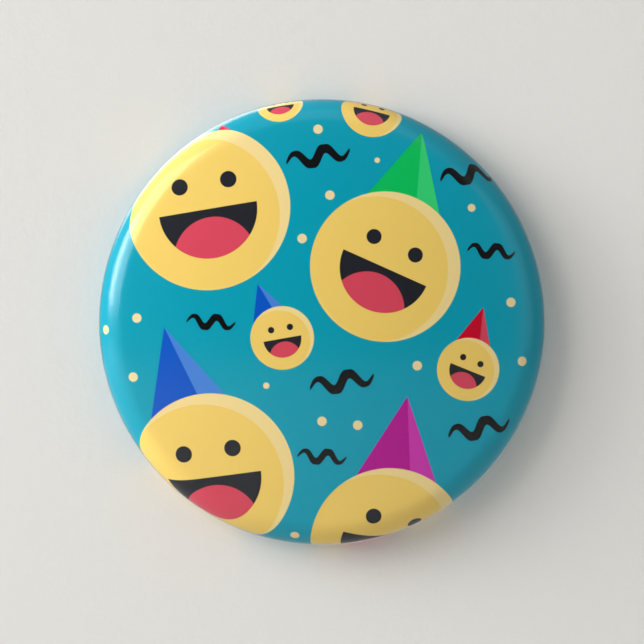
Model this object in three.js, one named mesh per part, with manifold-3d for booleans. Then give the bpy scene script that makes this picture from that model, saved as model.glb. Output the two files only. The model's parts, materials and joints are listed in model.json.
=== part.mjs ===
// A pin-back button badge, 2 1/4 inches across: a domed steel shell carries a printed paper disc
// under a clear film, their margins hemmed round the shell's edge, and a pressed steel back plate
// trapped behind them holds a spring-wire pin.
//
// Frame, in millimetres: +Z is up on the artwork, -Y is out of the face, and the origin is the centre
// of the plane that the rim's back lies in, which is where the cloth starts. Round pieces are turned
// about the Y axis, so a profile's two coordinates are radius and Y.
import * as THREE from "three";
import { mergeVertices } from "three/addons/utils/BufferGeometryUtils.js";
import Module from "manifold-3d";

const wasm = await Module();
wasm.setup();

// ---- Driving dimensions ----

const badgeDiameter = 57.15; // 2 1/4 inches, over the film
const domeRadius = 140; // the dome's own curvature
const shoulderRadius = 4; // from the dome round to the side wall
const sideWallHeight = 0.3; // straight, between the shoulder and the rolled edge
const rimRadius = 1.6; // the edge rolled in at the back

const filmThickness = 0.075;
const paperThickness = 0.125;
const shellThickness = 0.3;
const layerGap = 0.025; // air between film, paper and shell

const plateThickness = 0.3;
const plateSeatGap = 0.05; // between the hem and the back plate that it traps
const plateWallGap = 0.35; // from the plate's lip to the shell's side wall
const lipEndGap = 0.2; // from the lip's end to the inside of the shell's shoulder, less than plateWallGap
const lipBendRadius = 0.6; // at the lip's outer corner
const beadInset = 5.275; // from the plate's edge in to the middle of its stiffening bead
const beadHalfWidth = 1.1;
const beadHeight = 0.3;

const wireDiameter = 0.85;
const wireBendRadius = 1.6; // of the wire's centreline at its elbows
const wireSeatGap = 0.35; // from the wire to the plate under it
const partingGap = 0.3; // where the one wire is parted into its fixed, turning and flexing stretches
const axleInset = 4.3; // from the bead in to the wire's upright stretch, on which the needle swings
const needleZ = 6; // height of the closed needle above the badge's centre
const tailZ = -6; // height of the wire's anchored tail
const tailLength = 6.5; // from the axle to the hole that the tail drops into
const tailDrop = 0.7; // how far the tail's end reaches past the plate
const tailHoleGap = 0.2;
const tipInset = 1.8; // from the bead in to the needle's point, along the badge's width
const pointLength = 3;
const pointBluntness = 0.15; // the tip's radius as a share of the wire's
const pointRootLength = 0.4; // how far the point is sunk in the wire it is ground from
const pointRootShare = 0.8; // the sunk root's radius as a share of the wire's
const needleBow = 0.7; // how far the needle bows away from the plate, for the cloth under it

const strapWidth = 2.4; // along the axle
const strapSpacing = 5.6; // between the two straps' middles
const strapClearance = 0.1; // round the wire

const tipPastCatch = 4.5; // from the middle of the catch to the needle's point
const catchWidth = 3.2;
const catchClearance = 0.15; // round the latched needle
const catchReach = 0.7; // how far the lip passes the latched needle's centreline
const catchFlare = 0.18; // how far the lip's end turns away from the plate
const catchMouthGap = 0.15; // between the lip and the needle lying beside it

const turnSegments = 40; // round the badge
const domeSteps = 3;
const shoulderSteps = 3;
const rimSteps = 6; // an even number puts a corner on the rim's back
const hemSteps = 3;
const lapSteps = 2; // how many of the rolled edge's own steps the hem's margins run back inside it
const bendSteps = 2;
const archSteps = 6;
const wireSides = 8;
const wireStep = 1; // length of a wire's straight facets

// ---- Sizes that follow ----

const badgeRadius = badgeDiameter / 2;
const paperOffset = filmThickness + layerGap; // depths are counted inwards from the film's outside
const shellOffset = paperOffset + paperThickness + layerGap;
const hemRadius = shellOffset + shellThickness / 2; // the film's outside, turned about the shell's raw edge
const rimCentre = new THREE.Vector2(badgeRadius - rimRadius, -rimRadius);
const lapAngle = (lapSteps * Math.PI) / rimSteps; // in whole steps, so that every layer's facets line up
const hemCentre = new THREE.Vector2(rimCentre.x - (rimRadius - hemRadius), rimCentre.y);
const shoulderX = badgeRadius - shoulderRadius;
const shoulderCentre = new THREE.Vector2(shoulderX, rimCentre.y - sideWallHeight);
const domeCentreY = shoulderCentre.y + Math.sqrt((domeRadius - shoulderRadius) ** 2 - shoulderX ** 2);
const shoulderStart = Math.atan2(shoulderCentre.y - domeCentreY, shoulderX); // where dome and shoulder meet

const plateBackY = hemCentre.y - hemRadius - plateSeatGap; // the face that the cloth lies against
const shellInside = shellOffset + shellThickness;
const plateRadius = badgeRadius - shellInside - plateWallGap;
const lipReach = shoulderRadius - shellInside - lipEndGap; // of the lip's end from the shoulder's centre
const lipEndY = shoulderCentre.y - Math.sqrt(lipReach ** 2 - (plateRadius - shoulderX) ** 2);
const beadRadius = plateRadius - beadInset;
const beadInside = beadRadius - beadHalfWidth;

const wireRadius = wireDiameter / 2;
const axleX = axleInset - beadInside;
const tipX = beadInside - tipInset;
const catchX = tipX - tipPastCatch;
const axleY = plateBackY + wireSeatGap + wireRadius;
const axleTopZ = needleZ - wireBendRadius;
const axleBottomZ = tailZ + wireBendRadius;
const tailEndX = axleX + tailLength;
const needleStartX = axleX + wireBendRadius;
const needleRun = tipX - pointLength - needleStartX;
const bowRun = catchX - catchWidth / 2 - needleStartX; // the bow is gone where the catch starts
const strapInner = wireRadius + strapClearance;
const catchInner = wireRadius + catchClearance;
const latchedZ = needleZ + catchReach + catchMouthGap + wireRadius; // the needle's height under the catch

// ---- Profiles ----

/** Points of an arc, from one angle to another, both ends included. */
function arc(centre, radius, from, to, steps) {
  return Array.from({ length: steps + 1 }, (_, i) => {
    const angle = from + ((to - from) * i) / steps;
    return new THREE.Vector2(centre.x + radius * Math.cos(angle), centre.y + radius * Math.sin(angle));
  });
}

/** The face and the rolled edge at a depth below the film's outside, from the axis round to the hem. */
function skin(depth) {
  return [
    ...arc(new THREE.Vector2(0, domeCentreY), domeRadius - depth, -Math.PI / 2, shoulderStart, domeSteps),
    ...arc(shoulderCentre, shoulderRadius - depth, shoulderStart, 0, shoulderSteps).slice(1),
    ...arc(rimCentre, rimRadius - depth, 0, Math.PI, rimSteps),
  ];
}

/** The same, carried on round the shell's raw edge and back inside the rolled edge, as a margin is. */
function hemmedSkin(depth) {
  const inside = rimRadius - 2 * hemRadius + depth;
  return [
    ...skin(depth),
    ...arc(hemCentre, hemRadius - depth, Math.PI, 2 * Math.PI, hemSteps).slice(1),
    ...arc(rimCentre, inside, Math.PI, Math.PI - lapAngle, lapSteps).slice(1),
  ];
}

/** A sheet turned about the Y axis, between its face's path and its back's, both starting on the axis. */
function turnedSheet(face, back) {
  face[0].x = 0;
  back[0].x = 0;
  return new THREE.LatheGeometry([...face, ...back.reverse()], turnSegments);
}

// ---- Solids ----

/** A closed geometry as a solid that can be joined and cut. */
function solid(geometry) {
  const bare = geometry.clone().deleteAttribute("normal").deleteAttribute("uv");
  const merged = mergeVertices(bare, 1e-4);
  return new wasm.Manifold(
    new wasm.Mesh({
      numProp: 3,
      vertProperties: merged.attributes.position.array,
      triVerts: new Uint32Array(merged.index.array),
    }),
  );
}

/** A solid as a geometry again, shaded flat. */
function geometryOf(shape) {
  const mesh = shape.getMesh();
  const geometry = new THREE.BufferGeometry()
    .setAttribute("position", new THREE.BufferAttribute(mesh.vertProperties, 3))
    .setIndex(new THREE.BufferAttribute(mesh.triVerts, 1))
    .toNonIndexed();
  geometry.computeVertexNormals();
  return geometry;
}

/** A box between two corners. */
function block(low, high) {
  const size = high.clone().sub(low);
  const middle = low.clone().add(high).multiplyScalar(0.5);
  return solid(new THREE.BoxGeometry(size.x, size.y, size.z).translate(middle.x, middle.y, middle.z));
}

// ---- Skins and shell ----

function clearFilm() {
  return turnedSheet(hemmedSkin(0), hemmedSkin(filmThickness));
}

function printedDisc() {
  return turnedSheet(hemmedSkin(paperOffset), hemmedSkin(paperOffset + paperThickness));
}

function frontShell() {
  return turnedSheet(skin(shellOffset), skin(shellOffset + shellThickness));
}

// ---- Back plate ----

/** One face of the pressed plate, at a depth below the cloth side: flat, with a bead and a turned-up lip. */
function plateFace(depth) {
  const y = plateBackY - depth;
  const beadCurve = (beadHalfWidth ** 2 + beadHeight ** 2) / (2 * beadHeight);
  const beadCentre = new THREE.Vector2(beadRadius, plateBackY + beadHeight - beadCurve);
  const beadEdge = Math.asin((y - beadCentre.y) / (beadCurve - depth));
  const lipCorner = new THREE.Vector2(plateRadius - lipBendRadius, plateBackY - lipBendRadius);
  return [
    new THREE.Vector2(0, y),
    ...arc(beadCentre, beadCurve - depth, Math.PI - beadEdge, beadEdge, archSteps),
    ...arc(lipCorner, lipBendRadius - depth, Math.PI / 2, 0, bendSteps),
    new THREE.Vector2(plateRadius - depth, lipEndY),
  ];
}

/** A strap lanced out of the plate and arched over the axle, at a height up the badge. */
function strap(z) {
  const outer = strapInner + plateThickness;
  const foot = plateBackY - plateThickness;
  const outline = new THREE.Shape()
    .moveTo(axleX + outer, foot)
    .lineTo(axleX + outer, axleY)
    .absarc(axleX, axleY, outer, 0, Math.PI, false)
    .lineTo(axleX - outer, foot)
    .lineTo(axleX - strapInner, foot)
    .lineTo(axleX - strapInner, axleY)
    .absarc(axleX, axleY, strapInner, Math.PI, 0, true)
    .lineTo(axleX + strapInner, foot);
  const geometry = new THREE.ExtrudeGeometry(outline, {
    depth: strapWidth,
    bevelEnabled: false,
    curveSegments: archSteps,
  });
  return solid(geometry.translate(0, 0, z - strapWidth / 2));
}

/** The slot that a strap leaves in the plate. */
function strapSlot(z) {
  return block(
    new THREE.Vector3(axleX - strapInner, plateBackY - 2 * plateThickness, z - strapWidth / 2),
    new THREE.Vector3(axleX + strapInner, axleY, z + strapWidth / 2),
  );
}

/**
 * The catch: a tab lanced out of the plate, whose lip turns over the latched needle. It is a piece of
 * its own, so that its pocket stays open to the needle, and its foot meets the plate's sheared edge.
 */
function needleCatch() {
  const outer = catchInner + plateThickness;
  const foot = plateBackY - plateThickness;
  // The outline's first coordinate runs down the badge and its second towards the cloth.
  const outline = new THREE.Shape()
    .moveTo(-outer, foot)
    .lineTo(-catchInner, foot)
    .lineTo(-catchInner, axleY)
    .absarc(0, axleY, catchInner, Math.PI, Math.PI / 2, true)
    .lineTo(catchReach, axleY + catchInner + catchFlare)
    .lineTo(catchReach, axleY + outer + catchFlare)
    .lineTo(0, axleY + outer)
    .absarc(0, axleY, outer, Math.PI / 2, Math.PI, false);
  const geometry = new THREE.ExtrudeGeometry(outline, {
    depth: catchWidth,
    bevelEnabled: false,
    curveSegments: archSteps,
  });
  return geometryOf(solid(geometry.rotateY(Math.PI / 2).translate(catchX - catchWidth / 2, 0, latchedZ)));
}

/** The window that the catch leaves in the plate, under the needle, up to the back of its foot. */
function catchWindow() {
  const lowZ = latchedZ - catchReach - wireDiameter;
  return block(
    new THREE.Vector3(catchX - catchWidth / 2, plateBackY - 2 * plateThickness, lowZ),
    new THREE.Vector3(catchX + catchWidth / 2, axleY, latchedZ + catchInner + plateThickness),
  );
}

/** The hole that the tail's end drops into. */
function tailHole() {
  const radius = wireRadius + tailHoleGap;
  const drill = new THREE.CylinderGeometry(radius, radius, 4 * plateThickness, 2 * wireSides);
  return solid(drill.translate(tailEndX, plateBackY - plateThickness / 2, tailZ));
}

function backPlate() {
  const strapPlaces = [strapSpacing / 2, -strapSpacing / 2];
  let plate = solid(turnedSheet(plateFace(plateThickness), plateFace(0)));
  for (const cut of [...strapPlaces.map(strapSlot), catchWindow(), tailHole()]) plate = plate.subtract(cut);
  for (const tab of strapPlaces.map(strap)) plate = plate.add(tab);
  return geometryOf(plate);
}

// ---- Spring wire ----

/** The wire's stretch that swings and flexes: an elbow off the axle, then the bowed needle. */
class NeedleLine extends THREE.Curve {
  static elbow = (wireBendRadius * Math.PI) / 2;
  static length = NeedleLine.elbow + needleRun;

  getPoint(t, target = new THREE.Vector3()) {
    const along = t * NeedleLine.length;
    const turn = along / wireBendRadius;
    if (along < NeedleLine.elbow)
      return target.set(
        axleX + wireBendRadius * (1 - Math.cos(turn)),
        axleY,
        axleTopZ + wireBendRadius * Math.sin(turn),
      );
    const run = along - NeedleLine.elbow;
    const bow = run < bowRun ? needleBow * Math.sin((Math.PI * run) / bowRun) ** 2 : 0;
    return target.set(needleStartX + run, axleY + bow, needleZ);
  }
}

/** The anchored tail's line: off the axle's foot, along the plate, and down through its hole. */
function tailLine() {
  const start = new THREE.Vector3(axleX, axleY, axleBottomZ);
  const corner = new THREE.Vector3(axleX, axleY, tailZ);
  const turned = new THREE.Vector3(axleX + wireBendRadius, axleY, tailZ);
  const dropStart = new THREE.Vector3(tailEndX - wireSeatGap - wireRadius, axleY, tailZ);
  const dropCorner = new THREE.Vector3(tailEndX, axleY, tailZ);
  const dropped = new THREE.Vector3(tailEndX, plateBackY, tailZ);
  const end = new THREE.Vector3(tailEndX, plateBackY - plateThickness - tailDrop, tailZ);
  const line = new THREE.CurvePath();
  line.add(new THREE.QuadraticBezierCurve3(start, corner, turned));
  line.add(new THREE.LineCurve3(turned, dropStart));
  line.add(new THREE.QuadraticBezierCurve3(dropStart, dropCorner, dropped));
  line.add(new THREE.LineCurve3(dropped, end));
  return line;
}

/** Round wire along a line. */
function wireAlong(line) {
  const section = new THREE.Shape(
    Array.from({ length: wireSides }, (_, i) => {
      const angle = (2 * Math.PI * i) / wireSides;
      return new THREE.Vector2(wireRadius * Math.cos(angle), wireRadius * Math.sin(angle));
    }),
  );
  const steps = Math.ceil(line.getLength() / wireStep);
  return new THREE.ExtrudeGeometry(section, { extrudePath: line, steps, bevelEnabled: false });
}

/** The ground point, with a root that sinks into the wire. */
function needlePoint() {
  const rootRadius = pointRootShare * wireRadius;
  const profile = [
    [0, -pointRootLength],
    [rootRadius, -pointRootLength],
    [rootRadius, 0],
    [wireRadius, 0],
    [wireRadius * pointBluntness, pointLength],
    [0, pointLength],
  ].map(([radius, along]) => new THREE.Vector2(radius, along));
  const turned = new THREE.LatheGeometry(profile, 2 * wireSides);
  return solid(turned.rotateZ(-Math.PI / 2).translate(tipX - pointLength, axleY, needleZ));
}

function pinNeedle() {
  return geometryOf(solid(wireAlong(new NeedleLine())).add(needlePoint()));
}

function pinAxle() {
  const length = axleTopZ - axleBottomZ - 2 * partingGap;
  const rod = new THREE.CylinderGeometry(wireRadius, wireRadius, length, 2 * wireSides);
  return rod.rotateX(Math.PI / 2).translate(axleX, axleY, (axleTopZ + axleBottomZ) / 2);
}

function pinTail() {
  return wireAlong(tailLine());
}

// ---- Finishes ----

const finishes = {
  film: new THREE.MeshStandardMaterial({
    color: 0xf4f8f8,
    roughness: 0.08,
    metalness: 0,
    transparent: true,
    opacity: 0.12,
  }),
  print: new THREE.MeshStandardMaterial({ color: 0x009bb4, roughness: 0.45, metalness: 0 }),
  tinplate: new THREE.MeshStandardMaterial({ color: 0xc9cbcc, roughness: 0.28, metalness: 1 }),
  springWire: new THREE.MeshStandardMaterial({ color: 0xd6d6d2, roughness: 0.16, metalness: 1 }),
};

/** A named sub-part. */
function piece(name, geometry, finish) {
  const mesh = new THREE.Mesh(geometry, finish);
  mesh.name = name;
  return mesh;
}

const badge = new THREE.Group();
badge.add(
  piece("clear_film", clearFilm(), finishes.film),
  piece("printed_disc", printedDisc(), finishes.print),
  piece("front_shell", frontShell(), finishes.tinplate),
  piece("back_plate", backPlate(), finishes.tinplate),
  piece("needle_catch", needleCatch(), finishes.tinplate),
  piece("pin_tail", pinTail(), finishes.springWire),
  piece("pin_axle", pinAxle(), finishes.springWire),
  piece("pin_needle", pinNeedle(), finishes.springWire),
);

export default badge;
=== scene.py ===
"""A pin-back button badge: printed disc under clear film on a domed shell, pressed back and wire pin."""

import json
import logging
import math
from collections.abc import Sequence
from dataclasses import dataclass
from enum import Enum

import bmesh
import bpy
import numpy as np
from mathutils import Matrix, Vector


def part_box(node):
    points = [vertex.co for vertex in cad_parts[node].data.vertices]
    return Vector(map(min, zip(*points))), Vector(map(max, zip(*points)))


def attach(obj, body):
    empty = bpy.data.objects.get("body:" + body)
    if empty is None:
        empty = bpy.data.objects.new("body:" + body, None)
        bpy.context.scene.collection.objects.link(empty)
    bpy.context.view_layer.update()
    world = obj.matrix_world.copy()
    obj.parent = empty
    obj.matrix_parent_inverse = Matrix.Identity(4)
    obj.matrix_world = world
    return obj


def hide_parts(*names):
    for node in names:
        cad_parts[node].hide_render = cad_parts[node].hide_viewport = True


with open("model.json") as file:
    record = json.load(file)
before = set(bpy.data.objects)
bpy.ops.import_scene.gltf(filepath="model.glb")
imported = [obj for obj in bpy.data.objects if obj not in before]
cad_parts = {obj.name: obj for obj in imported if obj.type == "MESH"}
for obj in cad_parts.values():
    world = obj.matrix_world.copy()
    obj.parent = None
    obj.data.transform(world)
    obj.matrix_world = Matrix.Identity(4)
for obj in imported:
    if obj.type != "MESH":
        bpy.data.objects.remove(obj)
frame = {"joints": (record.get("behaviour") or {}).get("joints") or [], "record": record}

log = logging.getLogger("badge")
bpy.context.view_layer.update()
MM = 0.001
Colour = tuple[float, float, float, float]
Point = tuple[float, float, float]
Feed = bpy.types.NodeSocket | float | tuple[float, ...]  # what an input takes: a link or a value


def paint(red: int, green: int, blue: int) -> Colour:
    """A colour given as it looks on a screen, as the linear values that shaders take.

    Args:
        red, green, blue: display values from 0 to 255.

    Returns:
        The colour as linear red, green and blue, and full alpha.
    """
    display = np.array([red, green, blue]) / 255
    linear = np.where(display <= 0.04045, display / 12.92, ((display + 0.055) / 1.055) ** 2.4)
    return (*(float(value) for value in linear), 1.0)


# ---------------------------------------------------------------- sizes


@dataclass(frozen=True)
class BadgeSizes:
    """The badge's sizes in metres: its places come from the frame and its gauges are its own."""

    radius: float
    plate_y: float
    axle: tuple[float, float, float]
    elbow_z: float
    tip_x: float
    tail_end_x: float
    tail_z: float
    tail_end_y: float
    lip_end_y: float
    plate_radius: float
    dome_radius: float = 140 * MM
    shoulder_radius: float = 4 * MM
    side_wall: float = 0.3 * MM
    rim_radius: float = 1.6 * MM
    film: float = 0.075 * MM
    paper: float = 0.125 * MM
    shell: float = 0.3 * MM
    layer_gap: float = 0.025 * MM
    sheet: float = 0.3 * MM
    wire_radius: float = 0.425 * MM
    wire_bend: float = 1.6 * MM
    strap_spacing: float = 5.6 * MM
    catch_width: float = 3.2 * MM
    tip_past_catch: float = 4.5 * MM

    @classmethod
    def from_frame(cls) -> "BadgeSizes":
        """Reads the badge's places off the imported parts, joints and mounts."""
        mounts = {mount["name"]: mount["pos_m"] for mount in frame["record"]["mounts"]}
        joints = {joint["name"]: joint["pos_m"] for joint in frame["joints"]}
        tail_low, tail_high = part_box("pin_tail")
        wire = cls.wire_radius
        return cls(
            radius=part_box("clear_film")[1].x,
            plate_y=mounts["plate_face"][1],
            axle=tuple(joints["pin_swing"]),
            elbow_z=joints["needle_flex"][2],
            tip_x=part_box("pin_needle")[1].x,
            tail_end_x=tail_high.x - wire,
            tail_z=tail_low.z + wire,
            tail_end_y=tail_low.y,
            lip_end_y=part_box("back_plate")[0].y,
            plate_radius=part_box("back_plate")[1].x,
        )

    @property
    def paper_depth(self) -> float:
        """How far the paper's face lies under the film's outside."""
        return self.film + self.layer_gap

    @property
    def shell_depth(self) -> float:
        """How far the shell's face lies under the film's outside."""
        return self.paper_depth + self.paper + self.layer_gap

    @property
    def needle_z(self) -> float:
        """The height of the needle at rest."""
        return self.elbow_z + self.wire_bend

    @property
    def catch_x(self) -> float:
        """The middle of the catch."""
        return self.tip_x - self.tip_past_catch


# ---------------------------------------------------------------- surfaces


def arc(centre: Sequence[float], radius: float, start: float, end: float, steps: int) -> np.ndarray:
    """Points and outward directions of an arc: centre plus radius times cosine and sine of the angle.

    Args:
        centre: the arc's centre, as distance from the badge's axis and Y.
        radius: the arc's radius.
        start, end: its first and last angle.
        steps: how many straight steps it has.

    Returns:
        An array of rows of four: the point, then the unit vector from the centre to it.
    """
    angle = np.linspace(start, end, steps + 1)
    away = np.stack([np.cos(angle), np.sin(angle)], axis=1)
    return np.hstack([np.array(centre) + radius * away, away])


def directions(path: np.ndarray) -> np.ndarray:
    """The unit direction of a path at each of its points."""
    along = np.gradient(path, axis=0)
    return along / np.linalg.norm(along, axis=1)[:, None]


def outline(count: int, first_power: float, second_power: float) -> np.ndarray:
    """A closed outline: the cosine and the sine of the angle, each raised to a power with its sign kept.

    Args:
        count: how many points it has.
        first_power, second_power: 1 and 1 for a circle, less for squarer corners.

    Returns:
        The points, from -1 to 1 both ways.
    """
    turn = np.linspace(0, 2 * np.pi, count, endpoint=False)
    circle = np.stack([np.cos(turn), np.sin(turn)], axis=1)
    return np.sign(circle) * np.abs(circle) ** np.array([first_power, second_power])


def add_mesh(name: str, vertices: np.ndarray, faces: list, crease: float = 35) -> bpy.types.Object:
    """A smooth-shaded object whose faces point outwards.

    Args:
        name: the object's name.
        vertices: an array of points.
        faces: corner indices of each face.
        crease: edges sharper than this many degrees stay sharp.

    Returns:
        The new object, linked to the scene.
    """
    corners = np.array(
        [(face[0], face[k], face[k + 1]) for face in faces for k in range(1, len(face) - 1)]
    )
    a, b, c = (vertices[corners[:, k]] for k in range(3))
    if np.einsum("ij,ij->i", a, np.cross(b, c)).sum() < 0:
        faces = [face[::-1] for face in faces]
    mesh = bpy.data.meshes.new(name)
    mesh.from_pydata(vertices.tolist(), [], faces)
    mesh.shade_smooth()
    mesh.set_sharp_from_angle(angle=math.radians(crease))
    piece = bpy.data.objects.new(name, mesh)
    bpy.context.scene.collection.objects.link(piece)
    return piece


def strip_faces(rows: int, columns: int) -> np.ndarray:
    """Corner indices of the quads between neighbouring rows of a grid that closes round its columns."""
    row, column = np.meshgrid(np.arange(rows - 1), np.arange(columns), indexing="ij")
    after = (column + 1) % columns
    low, high = row * columns, (row + 1) * columns
    return np.stack([low + column, high + column, high + after, low + after], axis=-1).reshape(-1, 4)


def turned(name: str, profile: np.ndarray, segments: int, lift: np.ndarray | None = None) -> bpy.types.Object:
    """A solid turned about the Y axis. A point is (r cos a, y, r sin a), pushed along the profile's outward
    direction by lift.

    Args:
        name: the object's name.
        profile: rows of distance from the axis, Y, and the outward direction, from the axis back to it.
        segments: how many steps go round.
        lift: how far each point is pushed outwards, for each profile row and step round.

    Returns:
        The closed solid. Its first and last vertex are its two poles.
    """
    turn = np.linspace(0, 2 * np.pi, segments, endpoint=False)
    raised = np.zeros((len(profile), segments)) if lift is None else lift
    reach = profile[:, 0:1] + profile[:, 2:3] * raised
    height = profile[:, 1:2] + profile[:, 3:4] * raised
    grid = np.stack([reach * np.cos(turn), height, reach * np.sin(turn)], axis=-1)
    rings = grid[1:-1].reshape(-1, 3)
    poles = np.array([[0, profile[0, 1], 0], [0, profile[-1, 1], 0]])
    vertices = np.vstack([poles[:1], rings, poles[1:]])
    step = np.arange(segments)
    after = (step + 1) % segments
    last_ring = 1 + (len(profile) - 3) * segments
    first_fan = np.stack([np.zeros_like(step), 1 + step, 1 + after], axis=1)
    last_pole = np.full_like(step, len(vertices) - 1)
    last_fan = np.stack([last_ring + step, last_pole, last_ring + after], axis=1)
    quads = strip_faces(len(profile) - 2, segments) + 1
    return add_mesh(name, vertices, [*first_fan.tolist(), *quads.tolist(), *last_fan.tolist()])


def swept(
    name: str, centres: np.ndarray, sides: np.ndarray, tops: np.ndarray, section: np.ndarray
) -> bpy.types.Object:
    """A solid carried along a path: centre plus side times the section's first value plus top times its
    second.

    Args:
        name: the object's name.
        centres: the path's points.
        sides, tops: at each point, the two vectors across the path, as long as the section is to be there.
        section: the outline carried along, in shares of those vectors.

    Returns:
        The solid, closed by a flat cap at each end.
    """
    grid = centres[:, None] + sides[:, None] * section[None, :, 0:1] + tops[:, None] * section[None, :, 1:2]
    count = len(section)
    quads = strip_faces(len(centres), count).tolist()
    start_cap = list(range(count))
    end_cap = list(range((len(centres) - 1) * count, len(centres) * count))[::-1]
    return add_mesh(name, grid.reshape(-1, 3), [*quads, start_cap, end_cap])


def weld(mesh: bpy.types.Mesh, reach: float = 0.001 * MM) -> None:
    """Merges the corners that cutting and joining leave closer together than a reach."""
    shape = bmesh.new()
    shape.from_mesh(mesh)
    bmesh.ops.remove_doubles(shape, verts=shape.verts, dist=reach)
    bmesh.ops.dissolve_degenerate(shape, edges=shape.edges, dist=reach)
    shape.to_mesh(mesh)
    shape.free()


def combine(target: bpy.types.Object, other: bpy.types.Object, operation: str) -> None:
    """Cuts another solid from a target or joins it to it, and removes the other.

    Args:
        target: the object that is changed.
        other: the solid used up.
        operation: UNION or DIFFERENCE.
    """
    modifier = target.modifiers.new("combine", "BOOLEAN")
    modifier.operation = operation
    modifier.solver = "EXACT"
    modifier.object = other
    graph = bpy.context.evaluated_depsgraph_get()
    mesh = bpy.data.meshes.new_from_object(target.evaluated_get(graph))
    target.modifiers.clear()
    target.data = mesh
    bpy.data.objects.remove(other)


# ---------------------------------------------------------------- materials


class Tree:
    """A shader tree, or a node group, that is written one node at a time."""

    def __init__(self, tree: bpy.types.NodeTree) -> None:
        """Args: tree is the node tree that is written."""
        self.tree = tree

    @classmethod
    def material(cls, name: str) -> tuple[bpy.types.Material, "Tree"]:
        """A new empty material and its tree."""
        made = bpy.data.materials.new(name)
        made.use_nodes = True
        made.node_tree.nodes.clear()
        return made, cls(made.node_tree)

    @classmethod
    def group(
        cls, name: str, inputs: dict[str, str], outputs: dict[str, str]
    ) -> tuple["Tree", bpy.types.Node, bpy.types.Node]:
        """A new node group.

        Args:
            name: the group's name.
            inputs, outputs: each socket's name and its kind: Float, Vector or Color.

        Returns:
            The group's tree, its input node and its output node.
        """
        made = bpy.data.node_groups.new(name, "ShaderNodeTree")
        for direction, sockets in (("INPUT", inputs), ("OUTPUT", outputs)):
            for socket, kind in sockets.items():
                made.interface.new_socket(socket, in_out=direction, socket_type="NodeSocket" + kind)
        entry = made.nodes.new("NodeGroupInput")
        return cls(made), entry, made.nodes.new("NodeGroupOutput")

    def node(self, kind: str, inputs: dict | None = None, **settings: object) -> bpy.types.Node:
        """Adds a node.

        Args:
            kind: the node's type, without ShaderNode.
            inputs: each input's name or number, with a value or the socket that feeds it.
            settings: the node's own properties.

        Returns:
            The new node.
        """
        made = self.tree.nodes.new("ShaderNode" + kind)
        for key, value in settings.items():
            setattr(made, key, value)
        for key, value in (inputs or {}).items():
            self.feed(made.inputs[key], value)
        return made

    def feed(self, socket: bpy.types.NodeSocket, value: Feed) -> None:
        """Links a socket to another one, or sets its value."""
        if isinstance(value, bpy.types.NodeSocket):
            self.tree.links.new(value, socket)
        else:
            socket.default_value = value

    def math(self, operation: str, *values: Feed, clamp: bool = False) -> bpy.types.NodeSocket:
        """The result of a Math node on values or sockets."""
        made = self.node("Math", dict(enumerate(values)), operation=operation, use_clamp=clamp)
        return made.outputs[0]

    def distance(self, vector: bpy.types.NodeSocket, x: float, y: float) -> bpy.types.NodeSocket:
        """The distance from a point in a flat pattern."""
        return self.node("VectorMath", {0: vector, 1: (x, y, 0)}, operation="DISTANCE").outputs["Value"]

    def inside_circle(self, vector: Feed, x: float, y: float, radius: float) -> bpy.types.NodeSocket:
        """How far inside a circle of a flat pattern: the radius minus the distance from its middle."""
        return self.math("SUBTRACT", radius, self.distance(vector, x, y))

    def noise(self, vector: Feed, scale: Feed, detail: float, roughness: float = 0.5) -> bpy.types.NodeSocket:
        """The value of a noise pattern."""
        inputs = {"Vector": vector, "Scale": scale, "Detail": detail, "Roughness": roughness}
        return self.node("TexNoise", inputs).outputs["Fac"]

    def bump(
        self, height: Feed, strength: float, depth: float, under: Feed | None = None, sunk: bool = False
    ) -> bpy.types.NodeSocket:
        """Normals that follow a height.

        Args:
            height: the height, from 0 to 1.
            strength: how much of the relief shows.
            depth: the relief's depth in metres.
            under: the normals that the relief lies on, if they aren't the surface's own.
            sunk: whether the height goes down instead of up.

        Returns:
            The normals.
        """
        inputs = {"Strength": strength, "Distance": depth, "Height": height}
        if under is not None:
            inputs["Normal"] = under
        return self.node("Bump", inputs, invert=sunk).outputs["Normal"]

    def mask(self, inside: bpy.types.NodeSocket, sharpness: Feed) -> bpy.types.NodeSocket:
        """1 where a signed distance is inside, 0 outside, with a narrow blur between."""
        return self.math("MULTIPLY_ADD", inside, sharpness, 0.5, clamp=True)

    def mix(self, mask: Feed, under: Feed, over: Feed) -> bpy.types.NodeSocket:
        """One colour laid over another where a mask is 1."""
        made = self.tree.nodes.new("ShaderNodeMix")
        made.data_type = "RGBA"
        for socket, value in ((made.inputs[0], mask), (made.inputs[6], under), (made.inputs[7], over)):
            self.feed(socket, value)
        return made.outputs[2]

    def placed(self, group: bpy.types.NodeTree, inputs: dict) -> bpy.types.Node:
        """Places a node group in the tree and feeds it."""
        made = self.tree.nodes.new("ShaderNodeGroup")
        made.node_tree = group
        for key, value in inputs.items():
            self.feed(made.inputs[key], value)
        return made

    def finish(self, shader: bpy.types.NodeSocket) -> None:
        """Makes a shader the material's surface."""
        self.tree.links.new(shader, self.node("OutputMaterial").inputs["Surface"])


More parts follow.
